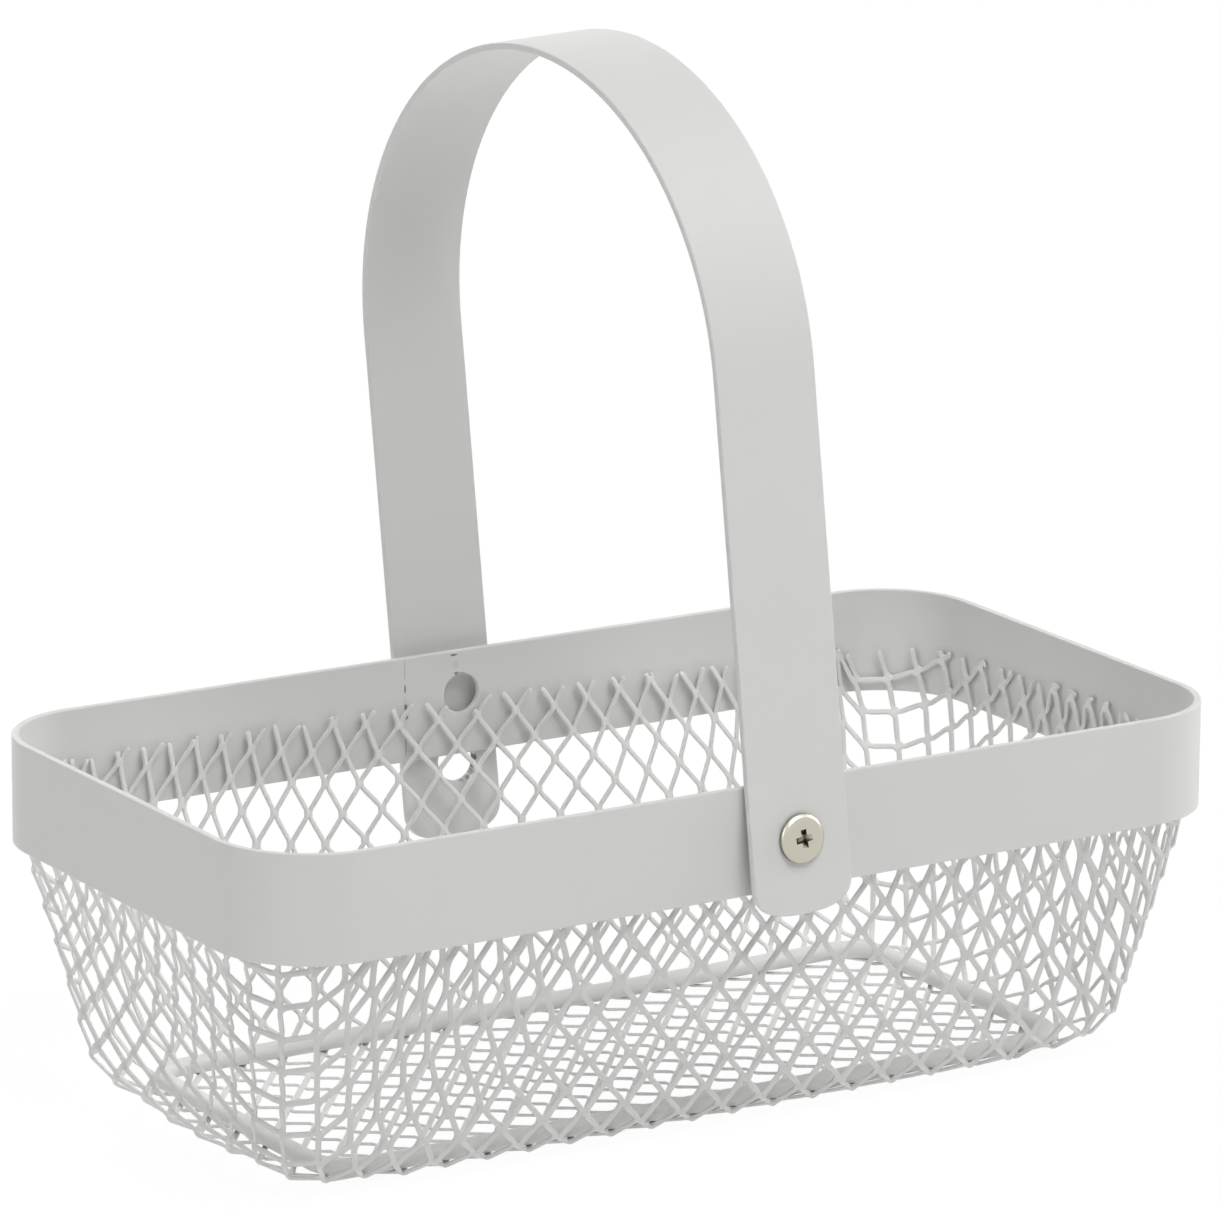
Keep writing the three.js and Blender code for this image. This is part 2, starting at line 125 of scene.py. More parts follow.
# The round of the strip's edges, with the angles in degrees that get it and that stay smooth
EDGE_RADIUS = 0.45
EDGE_ANGLE = 40
EDGE_SMOOTH_ANGLE = 35

# How far a cutting pin reaches to both sides of a strip, and how far the handle's limit reaches past it
PIN_REACH = 4.0
LIMIT_REACH = 5.0

# Keeps divisions away from zero
TINY = 1e-9


def make_object(name, points, faces):
    mesh = bpy.data.meshes.new(name)
    mesh.from_pydata([tuple(p) for p in points], [], [tuple(f) for f in faces])
    mesh.update()
    made = bpy.data.objects.new(name, mesh)
    bpy.context.scene.collection.objects.link(made)
    return made


def shade_smooth(made, angle=None):
    for polygon in made.data.polygons:
        polygon.use_smooth = True
    if angle is not None:
        made.data.set_sharp_from_angle(angle=math.radians(angle))


def apply_modifiers(made):
    bpy.context.view_layer.update()
    graph = bpy.context.evaluated_depsgraph_get()
    mesh = bpy.data.meshes.new_from_object(made.evaluated_get(graph))
    old = made.data
    made.modifiers.clear()
    made.data = mesh
    bpy.data.meshes.remove(old)


def cut(made, *cutters):
    for cutter in cutters:
        modifier = made.modifiers.new("cut", "BOOLEAN")
        modifier.operation = "DIFFERENCE"
        modifier.solver = "EXACT"
        modifier.object = cutter
        apply_modifiers(made)
        bpy.data.objects.remove(cutter)


def keep_inside(made, limit):
    modifier = made.modifiers.new("limit", "BOOLEAN")
    modifier.operation = "INTERSECT"
    modifier.solver = "EXACT"
    modifier.object = limit
    apply_modifiers(made)
    bpy.data.objects.remove(limit)


def round_edges(made):
    modifier = made.modifiers.new("edges", "BEVEL")
    modifier.width = EDGE_RADIUS
    modifier.segments = 3
    modifier.limit_method = "ANGLE"
    modifier.angle_limit = math.radians(EDGE_ANGLE)
    apply_modifiers(made)
    shade_smooth(made, EDGE_SMOOTH_ANGLE)
    weighted = made.modifiers.new("normals", "WEIGHTED_NORMAL")
    weighted.keep_sharp = True
    apply_modifiers(made)


def finish_piece(made, body, node, material):
    """Turns a mesh drawn in millimetres into a piece of the basket."""
    made.data.transform(Matrix.Scale(MM, 4))
    made.data.materials.clear()
    made.data.materials.append(material)
    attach(made, body)
    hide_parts(node)
    return made


def prism(name, outline, low, high, axes):
    """A closed prism: outline in two of its own axes, run from low to high along the third."""
    count = len(outline)
    points = []
    for level in (low, high):
        for u, v in outline:
            place = Vector((0, 0, 0))
            place[axes[0]] = u
            place[axes[1]] = v
            place[axes[2]] = level
            points.append(place)
    faces = [tuple(range(count - 1, -1, -1)), tuple(range(count, 2 * count))]
    faces += [(k, (k + 1) % count, (k + 1) % count + count, k + count) for k in range(count)]
    made = make_object(name, points, faces)
    fix_normals(made)
    return made


def fix_normals(made):
    mesh = bmesh.new()
    mesh.from_mesh(made.data)
    bmesh.ops.recalc_face_normals(mesh, faces=mesh.faces)
    mesh.to_mesh(made.data)
    mesh.free()


def arc(centre_x, centre_y, radius, start, end, steps):
    turns = [start + (end - start) * k / steps for k in range(steps + 1)]
    return [(centre_x + radius * math.cos(t), centre_y + radius * math.sin(t)) for t in turns]


def rounded_rectangle(half_length, half_width, radius, steps):
    x = half_length - radius
    y = half_width - radius
    quarter = math.pi / 2
    outline = []
    for turn, (sign_x, sign_y) in enumerate([(1, 1), (-1, 1), (-1, -1), (1, -1)]):
        outline += arc(sign_x * x, sign_y * y, radius, turn * quarter, (turn + 1) * quarter, steps)
    return outline


def pin(diameter, low, high, x, z, steps=64):
    """A cylinder along Y."""
    outline = [(x + diameter / 2 * math.cos(k / steps * math.tau),
                z + diameter / 2 * math.sin(k / steps * math.tau)) for k in range(steps)]
    return prism("pin", outline, low, high, (0, 2, 1))


def turned(name, profile, steps=72):
    """A body of revolution about Y: profile holds radius and station, from axis to axis."""
    points = []
    faces = []
    rings = []
    for radius, station in profile:
        if radius == 0:
            rings.append([len(points)])
            points.append((0, station, 0))
            continue
        rings.append(list(range(len(points), len(points) + steps)))
        for k in range(steps):
            turn = k / steps * math.tau
            points.append((radius * math.cos(turn), station, radius * math.sin(turn)))
    for one, other in zip(rings, rings[1:]):
        for k in range(steps):
            a, b = one[k % len(one)], one[(k + 1) % len(one)]
            c, d = other[(k + 1) % len(other)], other[k % len(other)]
            corners = list(dict.fromkeys([a, b, c, d]))
            if len(corners) > 2:
                faces.append(corners)
    made = make_object(name, points, faces)
    fix_normals(made)
    return made


# The outside of the tray, as in the solids

WALL_HALF_LENGTH = RIM_LENGTH / 2 - BAND_THICKNESS - SEAT_GAP
WALL_HALF_WIDTH = RIM_WIDTH / 2 - BAND_THICKNESS - SEAT_GAP
WALL_RADIUS = RIM_CORNER_RADIUS - BAND_THICKNESS - SEAT_GAP
LENGTH_TAPER = (WALL_HALF_LENGTH - FLOOR_LENGTH / 2) / BAND_FOOT
WIDTH_TAPER = (WALL_HALF_WIDTH - FLOOR_WIDTH / 2) / BAND_FOOT
CORNER_TAPER = (WALL_RADIUS - FLOOR_CORNER_RADIUS) / BAND_FOOT


def tray_distance(points):
    """Signed distance from the tray's outside at each point, and the way in which it grows."""
    sign = np.sign(points)
    drop = np.maximum(0, BAND_FOOT - points[..., 2])
    radius = WALL_RADIUS - CORNER_TAPER * drop
    x = np.abs(points[..., 0]) - (WALL_HALF_LENGTH - LENGTH_TAPER * drop - radius)
    y = np.abs(points[..., 1]) - (WALL_HALF_WIDTH - WIDTH_TAPER * drop - radius)
    inside = (x <= 0) & (y <= 0)
    around_x = np.where(inside, (x > y) * 1.0, np.maximum(x, 0))
    around_y = np.where(inside, (x <= y) * 1.0, np.maximum(y, 0))
    reach = np.where(inside, np.maximum(x, y), np.hypot(around_x, around_y))
    size = np.hypot(around_x, around_y)
    around_x = around_x / size
    around_y = around_y / size
    taper = around_x * (LENGTH_TAPER - CORNER_TAPER) + around_y * (WIDTH_TAPER - CORNER_TAPER)
    rise = np.where(drop > 0, -(taper + CORNER_TAPER), 0)
    scale = 1 / np.hypot(1, rise)
    wall = (reach - radius) * scale
    out = np.stack([sign[..., 0] * around_x, sign[..., 1] * around_y, rise], -1) * scale[..., None]
    down = np.zeros_like(out)
    down[..., 2] = -1
    wall_part = np.maximum(wall + BOTTOM_BEND, 0)
    floor_part = np.maximum(BOTTOM_BEND - points[..., 2], 0)
    bend = np.maximum(np.hypot(wall_part, floor_part), TINY)
    distance = bend - BOTTOM_BEND
    distance = np.where(wall_part == 0, -points[..., 2], distance)
    distance = np.where(floor_part == 0, wall, distance)
    normal = out * (wall_part / bend)[..., None] + down * (floor_part / bend)[..., None]
    return distance, normal


def settle(points):
    distance, normal = tray_distance(points)
    return points - normal * (distance / (normal ** 2).sum(-1))[..., None]


def bend_up(flat, half, taper):
    """How far out and how high the end of each flat length lies once it is bent up one wall."""
    lean = math.atan(taper)
    turn = math.pi / 2 - lean
    start = half - BOTTOM_BEND * math.tan(turn / 2)
    bend = np.clip((flat - start) / BOTTOM_BEND, 0, turn)
    above = np.maximum(0, flat - start - BOTTOM_BEND * turn)
    leaning = np.minimum(above, (BAND_FOOT - BOTTOM_BEND * (1 - math.cos(turn))) / math.cos(lean))
    out = np.minimum(flat, start) + BOTTOM_BEND * np.sin(bend) + leaning * math.sin(lean)
    up = BOTTOM_BEND * (1 - np.cos(bend)) + leaning * math.cos(lean) + above - leaning
    return out, up


def fold_up(flat_x, flat_y):
    """Where points of the flat sheet lie after it is folded up the walls, and which are loose.

    The fold is exact where no strand comes from a corner. Elsewhere it is a first guess.
    """
    core_x = FLOOR_LENGTH / 2 - LOOSE_END_INSET
    core_y = FLOOR_WIDTH / 2 - LOOSE_SIDE_INSET
    ax, ay = np.abs(flat_x), np.abs(flat_y)
    over_x = np.maximum(0, ax - core_x)
    over_y = np.maximum(0, ay - core_y)
    loose = ((ax > core_x - over_y * CELL_WIDTH / CELL_LENGTH)
             & (ay > core_y - over_x * CELL_LENGTH / CELL_WIDTH))
    x, rise_x = bend_up(ax, FLOOR_LENGTH / 2, LENGTH_TAPER)
    y, rise_y = bend_up(ay, FLOOR_WIDTH / 2, WIDTH_TAPER)
    exact = np.stack([np.sign(flat_x) * x, np.sign(flat_y) * y, rise_x + rise_y], -1)
    reach = np.hypot(over_x, over_y)
    height = np.maximum(0, reach - FLOOR_CORNER_RADIUS)
    spread = FLOOR_CORNER_RADIUS + np.minimum(height, BAND_FOOT) * (LENGTH_TAPER + WIDTH_TAPER) / 2
    share = np.minimum(1, spread / np.maximum(reach, TINY))
    x = np.minimum(ax, core_x) + over_x * share
    y = np.minimum(ay, core_y) + over_y * share
    guess = settle(settle(np.stack([np.sign(flat_x) * x, np.sign(flat_y) * y, height], -1)))
    return np.where(loose[..., None], guess, exact), loose[..., None]


# The mesh tray

# Half the number of columns and rows of knots, and how far above the mesh's top knots are still draped
COLUMNS = 46
ROWS = 28
TRIMMED_OFF = 38.0

# How the sheet is draped: how strongly each round mends stretched strands, squeezed strands and kinks
RELAX_ROUNDS = 1000
STRETCH_RATIO = 0.5
SQUEEZE_RATIO = 0.24
SMOOTHING_RATIO = 0.034


def drape_sheet():
    """Knots of the sheet in an array by column and row, and which of them are part of it."""
    i, j = np.meshgrid(np.arange(-COLUMNS, COLUMNS + 1), np.arange(-ROWS, ROWS + 1), indexing="ij")
    along, across = i * CELL_WIDTH / 2 + SHEET_X, j * CELL_LENGTH / 2 + SHEET_Y
    folded, loose = fold_up(along * math.cos(SHEET_TURN) - across * math.sin(SHEET_TURN),
                            along * math.sin(SHEET_TURN) + across * math.cos(SHEET_TURN))
    points = folded.copy()
    part = ((i + j) % 2 == 0) & (points[..., 2] < MESH_TOP + TRIMMED_OFF)
    rest = math.hypot(CELL_WIDTH, CELL_LENGTH) / 2

    # Strands in four groups, so that no two in a group share a knot
    groups = []
    for low, high in ((slice(0, -1), slice(1, None)), (slice(1, None), slice(0, -1))):
        for first in (0, 1):
            one = slice(first, 2 * COLUMNS, 2), low
            other = slice(first + 1, 2 * COLUMNS + 1, 2), high
            groups.append((one, other, (part[one] & part[other])[..., None]))
    middle = slice(1, -1), slice(1, -1)
    lines = []
    for low, high in ((slice(0, -2), slice(2, None)), (slice(2, None), slice(0, -2))):
        one, other = (slice(0, -2), low), (slice(2, None), high)
        lines.append((one, other, (part[middle] & part[one] & part[other])[..., None]))
    for _ in range(RELAX_ROUNDS):
        change = sum(((points[one] + points[other]) / 2 - points[middle]) * whole
                     for one, other, whole in lines)
        points[middle] += change * SMOOTHING_RATIO
        for one, other, whole in groups:
            pull = points[other] - points[one]
            excess = 1 - rest / np.maximum(np.linalg.norm(pull, axis=-1, keepdims=True), TINY)
            move = pull * excess * np.where(excess > 0, STRETCH_RATIO, SQUEEZE_RATIO) * whole
            points[one] += move
            points[other] -= move
        points = np.where(loose, settle(points), folded)
    points[..., 2] = np.maximum(points[..., 2], 0)
    return points, part


def trim_height(point):
    """The height at which the sheet is cut off.

    It is lowest in the rear right corner, and clear of the rear hole and of the nut's flange.
    """
    x, y, _ = point
    share = max(0, x / WALL_HALF_LENGTH) * max(0, y / WALL_HALF_WIDTH)
    height = MESH_TOP - CORNER_DIP * share
    rear = y > 0
    radius = (REAR_HOLE if rear else HEAD_DIAMETER) / 2 + TRIM_GAP
    aside = x - (REAR_HOLE_X if rear else PIVOT_X)
    if abs(y) > FLOOR_WIDTH / 2 and abs(aside) < radius:
        centre = RIM_TOP - REAR_HOLE_DROP if rear else PIVOT_Z
        height = min(height, centre - math.sqrt(radius ** 2 - aside ** 2))
    return height


# The four ways from a knot to the next, by column and row, and the spans that a strand is built from
WAYS = [(1, -1), (1, 1), (-1, 1), (-1, -1)]
SPANS = 6
STUB_SPANS = 3
SHORTEST_STUB = 0.7

# Cut strands end up to this much above or below the trim height, found in steps along the strand
TRIM_UNEVEN = 0.4
TRIM_STEPS = 40
TRIM_SEED = 7


def unit(v):
    return v / max(np.linalg.norm(v), TINY)


def strand_line(one, other, way):
    """Points and directions along a strand's middle, by their share of the way between two knots."""
    a, b = WAYS[way]
    start = one["here"] + one["side"] * a * STRAND_WIDTH / 2 + one["long"] * b * BOND_LENGTH / 2
    finish = other["here"] - other["side"] * a * STRAND_WIDTH / 2 - other["long"] * b * BOND_LENGTH / 2
    controls = start, start + one["long"] * b * STRAND_BOW, finish - other["long"] * b * STRAND_BOW, finish

    def at(t):
        p, q, r, s = controls
        place = p * (1 - t) ** 3 + q * 3 * t * (1 - t) ** 2 + r * 3 * t * t * (1 - t) + s * t ** 3
        slope = (q - p) * (1 - t) ** 2 + (r - q) * 2 * t * (1 - t) + (s - r) * t * t
        return place, unit(slope)
    return at


def build_mesh_tray(material):
    """The strands are flat strips. They and the bonds between them all lean the same way, as slats do."""
    points, part = drape_sheet()
    _, normals = tray_distance(points)
    dice = np.random.default_rng(TRIM_SEED)
    lean = abs(math.sin(STRAND_TILT)) * STRAND_WIDTH + SHEET_THICKNESS / 2
    verts = []
    faces = []

    def add(point):
        verts.append(point)
        return len(verts) - 1

    def ring(centre, along, face, width=1.0):
        """Six points round a strand, seen along it."""
        face = unit(face - along * np.dot(along, face))
        side = np.cross(along, face) * STRAND_WIDTH / 2 * width
        half = face * SHEET_THICKNESS / 2 * width
        return [add(centre - side + half), add(centre + half), add(centre + side + half),
                add(centre + side - half), add(centre - half), add(centre - side - half)]

    def join(one, other):
        for k in range(6):
            faces.append((one[k], one[(k + 1) % 6], other[(k + 1) % 6], other[k]))

    def cap(end):
        faces.append((end[0], end[1], end[4], end[5]))
        faces.append((end[1], end[2], end[3], end[4]))

    knots = {}
    for i in range(1, 2 * COLUMNS):
        for j in range(1, 2 * ROWS):
            near = [(i + a, j + b) for a, b in WAYS]
            if not part[i, j] or not all(part[n] for n in near):
                continue
            normal = unit(normals[i, j])
            reaches = [unit(points[n] - points[i, j]) for n in near]
            long_way = unit(reaches[1] + reaches[2] - reaches[0] - reaches[3])
            long_way = unit(long_way - normal * np.dot(normal, long_way))
            short_way = np.cross(normal, long_way)
            knots[i, j] = {
                "here": points[i, j] - normal * lean, "long": long_way,
                "side": short_way * math.cos(STRAND_TILT) - normal * math.sin(STRAND_TILT),
                "face": normal * math.cos(STRAND_TILT) + short_way * math.sin(STRAND_TILT),
                "kept": points[i, j, 2] <= trim_height(points[i, j]),
            }

    # A bond is two strands wide. Its two faces have five points along each end.
    for knot in knots.values():
        if not knot["kept"]:
            continue
        grid = {}
        for face in (1, -1):
            for end in (1, -1):
                for column in range(-2, 3):
                    point = knot["here"] + knot["side"] * column * STRAND_WIDTH / 2
                    point = point + knot["long"] * end * BOND_LENGTH / 2
                    point = point + knot["face"] * face * SHEET_THICKNESS / 2
                    grid[face, end, column] = add(point)
            for column in range(-2, 2):
                faces.append((grid[face, 1, column], grid[face, 1, column + 1],
                              grid[face, -1, column + 1], grid[face, -1, column]))
        for column in (-2, 2):
            faces.append((grid[1, 1, column], grid[1, -1, column], grid[-1, -1, column], grid[-1, 1, column]))
        knot["grid"] = grid

    def section(knot, way):
        """The six points of a strand where it leaves a knot, seen along the strand."""
        a, b = WAYS[way]
        columns = (2 * a, a, 0) if a == b else (0, a, 2 * a)
        return [knot["grid"][1, b, c] for c in columns] + [knot["grid"][-1, b, c] for c in columns[::-1]]

    for (i, j), knot in knots.items():
        if not knot["kept"]:
            continue
        for way, (a, b) in enumerate(WAYS):
            other = knots.get((i + a, j + b))
            start = section(knot, way)
            if other is None:
                cap(start)
                continue
            line = strand_line(knot, other, way)
            if other["kept"]:
                if a < 0:
                    continue
                previous = start
                for span in range(1, SPANS):
                    t = span / SPANS
                    current = ring(*line(t), knot["face"] * (1 - t) + other["face"] * t)
                    join(previous, current)
                    previous = current
                end = section(other, (way + 2) % 4)
                join(previous, [end[2], end[1], end[0], end[5], end[4], end[3]])
                continue
            uneven = dice.uniform(-TRIM_UNEVEN, TRIM_UNEVEN)
            places = [line(k / TRIM_STEPS)[0] for k in range(TRIM_STEPS + 1)]
            above = [k for k, place in enumerate(places) if place[2] >= trim_height(place) + uneven]
            t = above[0] / TRIM_STEPS if above else 1.0
            if t * np.linalg.norm(other["here"] - knot["here"]) < SHORTEST_STUB:
                cap(start)
                continue
            previous = start
            for span in range(1, STUB_SPANS + 1):
                swell = TIP_SWELL if span == STUB_SPANS else 1.0
                current = ring(*line(t * span / STUB_SPANS), knot["face"], swell)
                join(previous, current)
                previous = current
            cap(previous)
    made = make_object("mesh_tray", verts, faces)
    fix_normals(made)
    smooth = made.modifiers.new("round", "SUBSURF")
    smooth.levels = 1
    smooth.render_levels = 1
    smooth.subdivision_type = "CATMULL_CLARK"
    apply_modifiers(made)
    shade_smooth(made)
    return finish_piece(made, "basket", "mesh_basket", material)


# The rim band

BAND_CORNER_STEPS = 24


def build_rim_band(material):
    outer = rounded_rectangle(RIM_LENGTH / 2, RIM_WIDTH / 2, RIM_CORNER_RADIUS, BAND_CORNER_STEPS)
    inner = rounded_rectangle(
        RIM_LENGTH / 2 - BAND_THICKNESS, RIM_WIDTH / 2 - BAND_THICKNESS,
        RIM_CORNER_RADIUS - BAND_THICKNESS, BAND_CORNER_STEPS)
    count = len(outer)
    points = []
    for outline, level in ((outer, BAND_FOOT), (outer, RIM_TOP), (inner, RIM_TOP), (inner, BAND_FOOT)):
        points += [(x, y, level) for x, y in outline]
    faces = []
    for k in range(count):
        n = (k + 1) % count
        for ring in range(4):
            near, far = ring * count, (ring + 1) % 4 * count
            faces.append((near + k, near + n, far + n, far + k))
    made = make_object("rim_strip", points, faces)
    fix_normals(made)
    middle = RIM_WIDTH / 2 - BAND_THICKNESS / 2
    axis_fall = (PIVOT_Y + middle) * math.tan(HANDLE_SAG)
    cut(made,
        pin(BAND_HOLE, -middle - PIN_REACH, -middle + PIN_REACH, PIVOT_X, PIVOT_Z + axis_fall),
        pin(REAR_HOLE, middle - PIN_REACH, middle + PIN_REACH, REAR_HOLE_X, RIM_TOP - REAR_HOLE_DROP))
    round_edges(made)
    return finish_piece(made, "basket", "rim_band", material)


# The base ring

RING_CORNER_STEPS = 16
RING_BAR_SIDES = 24


def build_base_ring(material):
    half_length = FLOOR_LENGTH / 2 - RING_END_INSET
    half_width = FLOOR_WIDTH / 2 - RING_SIDE_INSET
    route = rounded_rectangle(half_length, half_width, RING_CORNER_RADIUS, RING_CORNER_STEPS)
    sides = RING_BAR_SIDES
    count = len(route)
    points = []
    faces = []
    for k, (x, y) in enumerate(route):
        before = Vector(route[k - 1])
        after = Vector(route[(k + 1) % count])
        along = (after - before).normalized()
        outward = Vector((along.y, -along.x))
        for side in range(sides):
            turn = side / sides * math.tau
            across = outward * math.cos(turn) * RING_BAR / 2
            points.append((x + across.x, y + across.y, RING_HEIGHT + math.sin(turn) * RING_BAR / 2))
            n = (k + 1) % count
            s = (side + 1) % sides
            faces.append((k * sides + side, n * sides + side, n * sides + s, k * sides + s))
    made = make_object("floor_ring", points, faces)
    fix_normals(made)
    shade_smooth(made)
    return finish_piece(made, "basket", "base_ring", material)


# The handle

ARCH_STEPS = 96
END_STEPS = 24

# How far above the strap's end the second control point of its rounding lies
END_LIFT = 1.0
HAIR_WIDER = 1.00001


def build_handle(material):
    half = STRAP_THICKNESS / 2
    reach = LEG_SPACING / 2

    def edge(offset):
        line = []
        for step in range(ARCH_STEPS + 1):
            turn = math.pi * (1 - step / ARCH_STEPS)
            normal = Vector((math.cos(turn) / reach, math.sin(turn) / ARCH_RISE)).normalized()
            line.append((reach + reach * math.cos(turn) + normal.x * offset,
                         LEG_STRAIGHT + ARCH_RISE * math.sin(turn) + normal.y * offset))
        return line

    side = [(-half, -STRAP_END)] + edge(half) + [(LEG_SPACING + half, -STRAP_END)]
    side += [(LEG_SPACING - half, -STRAP_END)] + edge(-half)[::-1] + [(half, -STRAP_END)]
    made = prism("handle_arch", side, -STRAP_WIDTH / 2, STRAP_WIDTH / 2, (1, 2, 0))

    # The strap's outline seen along the pivot, a hair wider than the strap so that no faces coincide
    edge_x = STRAP_WIDTH / 2
    a = Vector((edge_x, -STRAP_SHOULDER))
    b = Vector((edge_x, -STRAP_END + END_LIFT))
    c = Vector((edge_x / 2, -STRAP_END))
    d = Vector((0, -STRAP_END))
    round_end = []
    for step in range(END_STEPS + 1):
        t = step / END_STEPS
        point = a * (1 - t) ** 3 + b * 3 * t * (1 - t) ** 2 + c * 3 * t * t * (1 - t) + d * t ** 3
        round_end.append((point.x, point.y))
    top = LEG_STRAIGHT + ARCH_RISE + LIMIT_REACH
    outline = [(edge_x, top)] + round_end + [(-x, z) for x, z in round_end[-2::-1]] + [(-edge_x, top)]
    outline = [(x * HAIR_WIDER, z) for x, z in outline]
    keep_inside(made, prism("limit", outline, -LIMIT_REACH, LEG_SPACING + LIMIT_REACH, (0, 2, 1)))
    cut(made,
        pin(STRAP_HOLE, -PIN_REACH, PIN_REACH, 0, 0),
        pin(STRAP_REAR_HOLE, LEG_SPACING - PIN_REACH, LEG_SPACING + PIN_REACH,
            STRAP_REAR_HOLE_X, STRAP_REAR_HOLE_RISE))
    round_edges(made)
    shear = Matrix.Identity(4)
    shear[0][1] = STRAP_RACK / LEG_SPACING
    made.data.transform(PIVOT_FRAME @ Matrix.Rotation(HANDLE_LEAN, 4, "Y") @ shear)
    return finish_piece(made, "handle", "handle_strap", material)


# The screw and its sleeve nut

# Points on the edges of the head and of the nut's flange: how far in from the rim, and how far from
# the front or back face
HEAD_EDGE = [(1.1, 0.1), (0.75, 0.22), (0.25, 0.62), (0.04, 0.9), (0.0, 1.15)]
HEAD_BACK_EDGE = [(0.0, 0.1), (0.1, 0.0)]
FLANGE_EDGE = [(0.15, 0.0), (0.0, 0.15)]
FLANGE_BACK_EDGE = [(0.0, 0.5), (0.15, 0.2), (0.5, 0.0)]

# The head's face is nearly flat up to a share of its radius
FLAT_SHARE = 0.6
FLAT_DROP = 0.02
TIP_CHAMFER = 0.5
TURNED_SMOOTH_ANGLE = 30

# The cross recess in the head, with its turn in degrees
RECESS_REACH = 2.7
RECESS_FLARE = 0.35
RECESS_SLOT = 0.85
RECESS_FOOT = 0.9
RECESS_DEPTH = 2.1
RECESS_TURN = -7
RECESS_IN_FRONT = 0.5
CONE_MOUTH = 1.5
CONE_FOOT = 0.75
CONE_POINT = 0.4


def build_screw(material):
    back = -STRAP_THICKNESS / 2 - SEAT_GAP
    face = back - HEAD_THICKNESS
    radius = HEAD_DIAMETER / 2
    shank = SCREW_SHANK / 2

    profile = [(0, face), (radius * FLAT_SHARE, face + FLAT_DROP)]
    profile += [(radius - inset, face + rise) for inset, rise in HEAD_EDGE]
    profile += [(radius - inset, back - drop) for inset, drop in HEAD_BACK_EDGE]
    profile += [(shank, back), (shank, SCREW_REACH - TIP_CHAMFER)]
    profile += [(shank - TIP_CHAMFER, SCREW_REACH), (0, SCREW_REACH)]
    made = turned("screw", profile)

    # The cross recess is cut by two crossed wings that get narrower with depth, and by a cone
    mouth = face - RECESS_IN_FRONT
    foot = face + RECESS_DEPTH
    for turn in (0, 90):
        wing = []
        for station, reach in ((mouth, RECESS_REACH + RECESS_FLARE), (foot, RECESS_FOOT)):
            for u, v in ((1, 1), (-1, 1), (-1, -1), (1, -1)):
                wing.append((u * reach, station, v * RECESS_SLOT))
        cutter = make_object("wing", wing, [(0, 1, 2, 3), (7, 6, 5, 4), (0, 4, 5, 1), (1, 5, 6, 2),
                                            (2, 6, 7, 3), (3, 7, 4, 0)])
        cutter.data.transform(Matrix.Rotation(math.radians(turn + RECESS_TURN), 4, "Y"))
        fix_normals(cutter)
        cut(made, cutter)
    cone = [(0, mouth), (CONE_MOUTH, mouth), (CONE_FOOT, foot), (0, foot + CONE_POINT)]
    cut(made, turned("cone", cone, steps=32))
    shade_smooth(made, TURNED_SMOOTH_ANGLE)
    made.data.transform(PIVOT_FRAME)
    return finish_piece(made, "basket", "pivot_screw", material)


def build_nut(material):
    mouth = -STRAP_THICKNESS / 2 + SEAT_GAP
    bore = SCREW_SHANK / 2 + RUNNING_GAP
    inside = (-RIM_WIDTH / 2 + BAND_THICKNESS - PIVOT_Y) / math.cos(HANDLE_SAG)
    seat = inside + HEAD_DIAMETER / 2 * math.tan(HANDLE_SAG) + SEAT_GAP
    sleeve = SLEEVE_DIAMETER / 2
    flange = HEAD_DIAMETER / 2
    back = seat + FLANGE_THICKNESS
    bottom = SCREW_REACH + RUNNING_GAP
    profile = [(0, bottom), (bore, bottom), (bore, mouth), (sleeve, mouth), (sleeve, seat)]
    profile += [(flange - inset, seat + rise) for inset, rise in FLANGE_EDGE]
    profile += [(flange - inset, back - drop) for inset, drop in FLANGE_BACK_EDGE]
    profile += [(0, back)]
    made = turned("nut", profile)
    shade_smooth(made, TURNED_SMOOTH_ANGLE)
    made.data.transform(PIVOT_FRAME)
    return finish_piece(made, "basket", "sleeve_nut", material)


# Materials

def new_material(name):
    material = bpy.data.materials.new(name)
    material.use_nodes = True
    nodes = material.node_tree.nodes
    return material, nodes, material.node_tree.links, nodes["Principled BSDF"]


# Looks of the coat and of the nickel, with linear colours and the peel's height in metres. A greater
# scale makes smaller spots.
COAT_COLOUR = (0.73, 0.73, 0.714)
COAT_ROUGHNESS = 0.5
COAT_TONES = (0.985, 1.0)
TONE_SCALE = 18
TONE_DETAIL = 3
PEEL_SCALE = 650
PEEL_STRENGTH = 0.12
PEEL_HEIGHT = 0.0002
# The colour of the dark marks, and of the painted shade in narrow gaps on the coat
MARK_AND_SHADE_COLOUR = (0.055, 0.052, 0.045)
MARK_RAGGEDNESS = 1.2
MARK_FADE = (1.2, 1.75)
# The colour of the painted shade in the screw's recess and at the foot of its head, then the nickel's own
# colour
NICKEL_PAINTED_SHADE = (0.07, 0.055, 0.035)
NICKEL_COLOUR = (0.56, 0.54, 0.455)
NICKEL_ROUGHNESS = (0.26, 0.38)
GRAIN_SCALE = 900
NOISE_SPREAD = (0.3, 0.7)

# How near another surface makes a gap with painted shade on the coat and on the nickel, in millimetres
COAT_GAP_REACH = 1.3
NICKEL_GAP_REACH = 2.5

# How open a gap is where its painted shade is darkest and where it starts to look dark, and how dark the
# coat's painted shade gets
COAT_GAP_OPEN = (0.05, 0.48)
COAT_PAINTED_SHADE = 0.75
NICKEL_GAP_OPEN = (0.35, 0.85)
